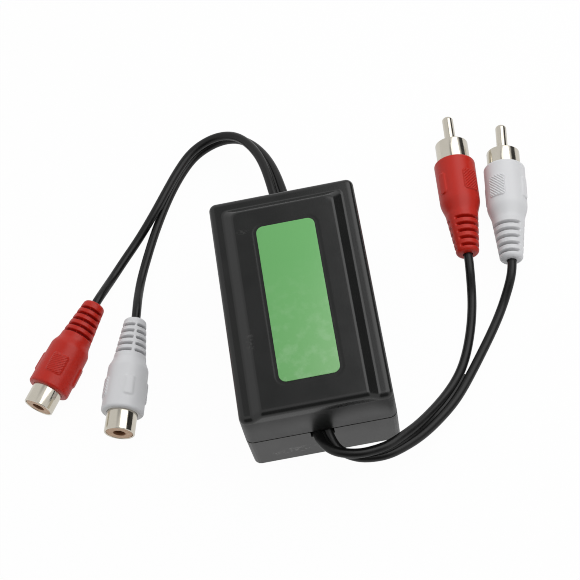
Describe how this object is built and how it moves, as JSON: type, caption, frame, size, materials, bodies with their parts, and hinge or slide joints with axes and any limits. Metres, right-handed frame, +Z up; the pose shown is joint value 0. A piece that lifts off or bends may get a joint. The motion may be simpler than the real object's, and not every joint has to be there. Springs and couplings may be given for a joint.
{
  "type": "ground loop isolator",
  "caption": "Small black case with audio transformers inside, red and white phono jacks on short leads at one end and red and white phono plugs at the other.",
  "frame": {"origin": "middle of the case's underside, on the surface that the case and its connectors lie on", "axes": "+Z up, +Y along the case from the plugs' end wall to the jacks' end wall, +X to the right seen from the plugs' end"},
  "size_m": [0.1513, 0.1146, 0.0318],
  "materials": {
    "case_plastic": "moulded black plastic, semi-gloss",
    "label_vinyl": "printed vinyl, satin",
    "board_laminate": "green solder mask",
    "core_iron": "bare laminations",
    "bobbin_nylon": "natural nylon",
    "copper_wire": "enamelled winding wire",
    "tie_nylon": "natural nylon",
    "screw_steel": "zinc plated",
    "lead_pvc": "black flexible PVC, semi-gloss",
    "red_pvc": "moulded red PVC, satin",
    "white_pvc": "moulded white PVC, satin",
    "insulator_phenolic": "tan phenolic",
    "nickel": "bright nickel plate"
  },
  "bodies": {
    "root": {"case_base": "case_plastic", "case_lid": "case_plastic", "label": "label_vinyl", "circuit_board": "board_laminate", "front_core": "core_iron", "rear_core": "core_iron", "front_bobbin": "bobbin_nylon", "rear_bobbin": "bobbin_nylon", "front_winding": "copper_wire", "rear_winding": "copper_wire", "input_cable_tie": "tie_nylon", "output_cable_tie": "tie_nylon", "screw_front_left": "screw_steel", "screw_front_right": "screw_steel", "screw_rear_left": "screw_steel", "screw_rear_right": "screw_steel", "input_red_lead": "lead_pvc", "input_white_lead": "lead_pvc", "output_red_lead": "lead_pvc", "output_white_lead": "lead_pvc", "input_red_jack_boot": "red_pvc", "input_red_jack_barrel": "nickel", "input_red_jack_insulator": "insulator_phenolic", "input_red_jack_contact": "nickel", "input_white_jack_boot": "white_pvc", "input_white_jack_barrel": "nickel", "input_white_jack_insulator": "insulator_phenolic", "input_white_jack_contact": "nickel", "output_red_plug_boot": "red_pvc", "output_red_plug_ferrule": "nickel", "output_red_plug_insulator": "insulator_phenolic", "output_red_plug_pin": "nickel", "output_white_plug_boot": "white_pvc", "output_white_plug_ferrule": "nickel", "output_white_plug_insulator": "insulator_phenolic", "output_white_plug_pin": "nickel"}
  },
  "joints": []
}
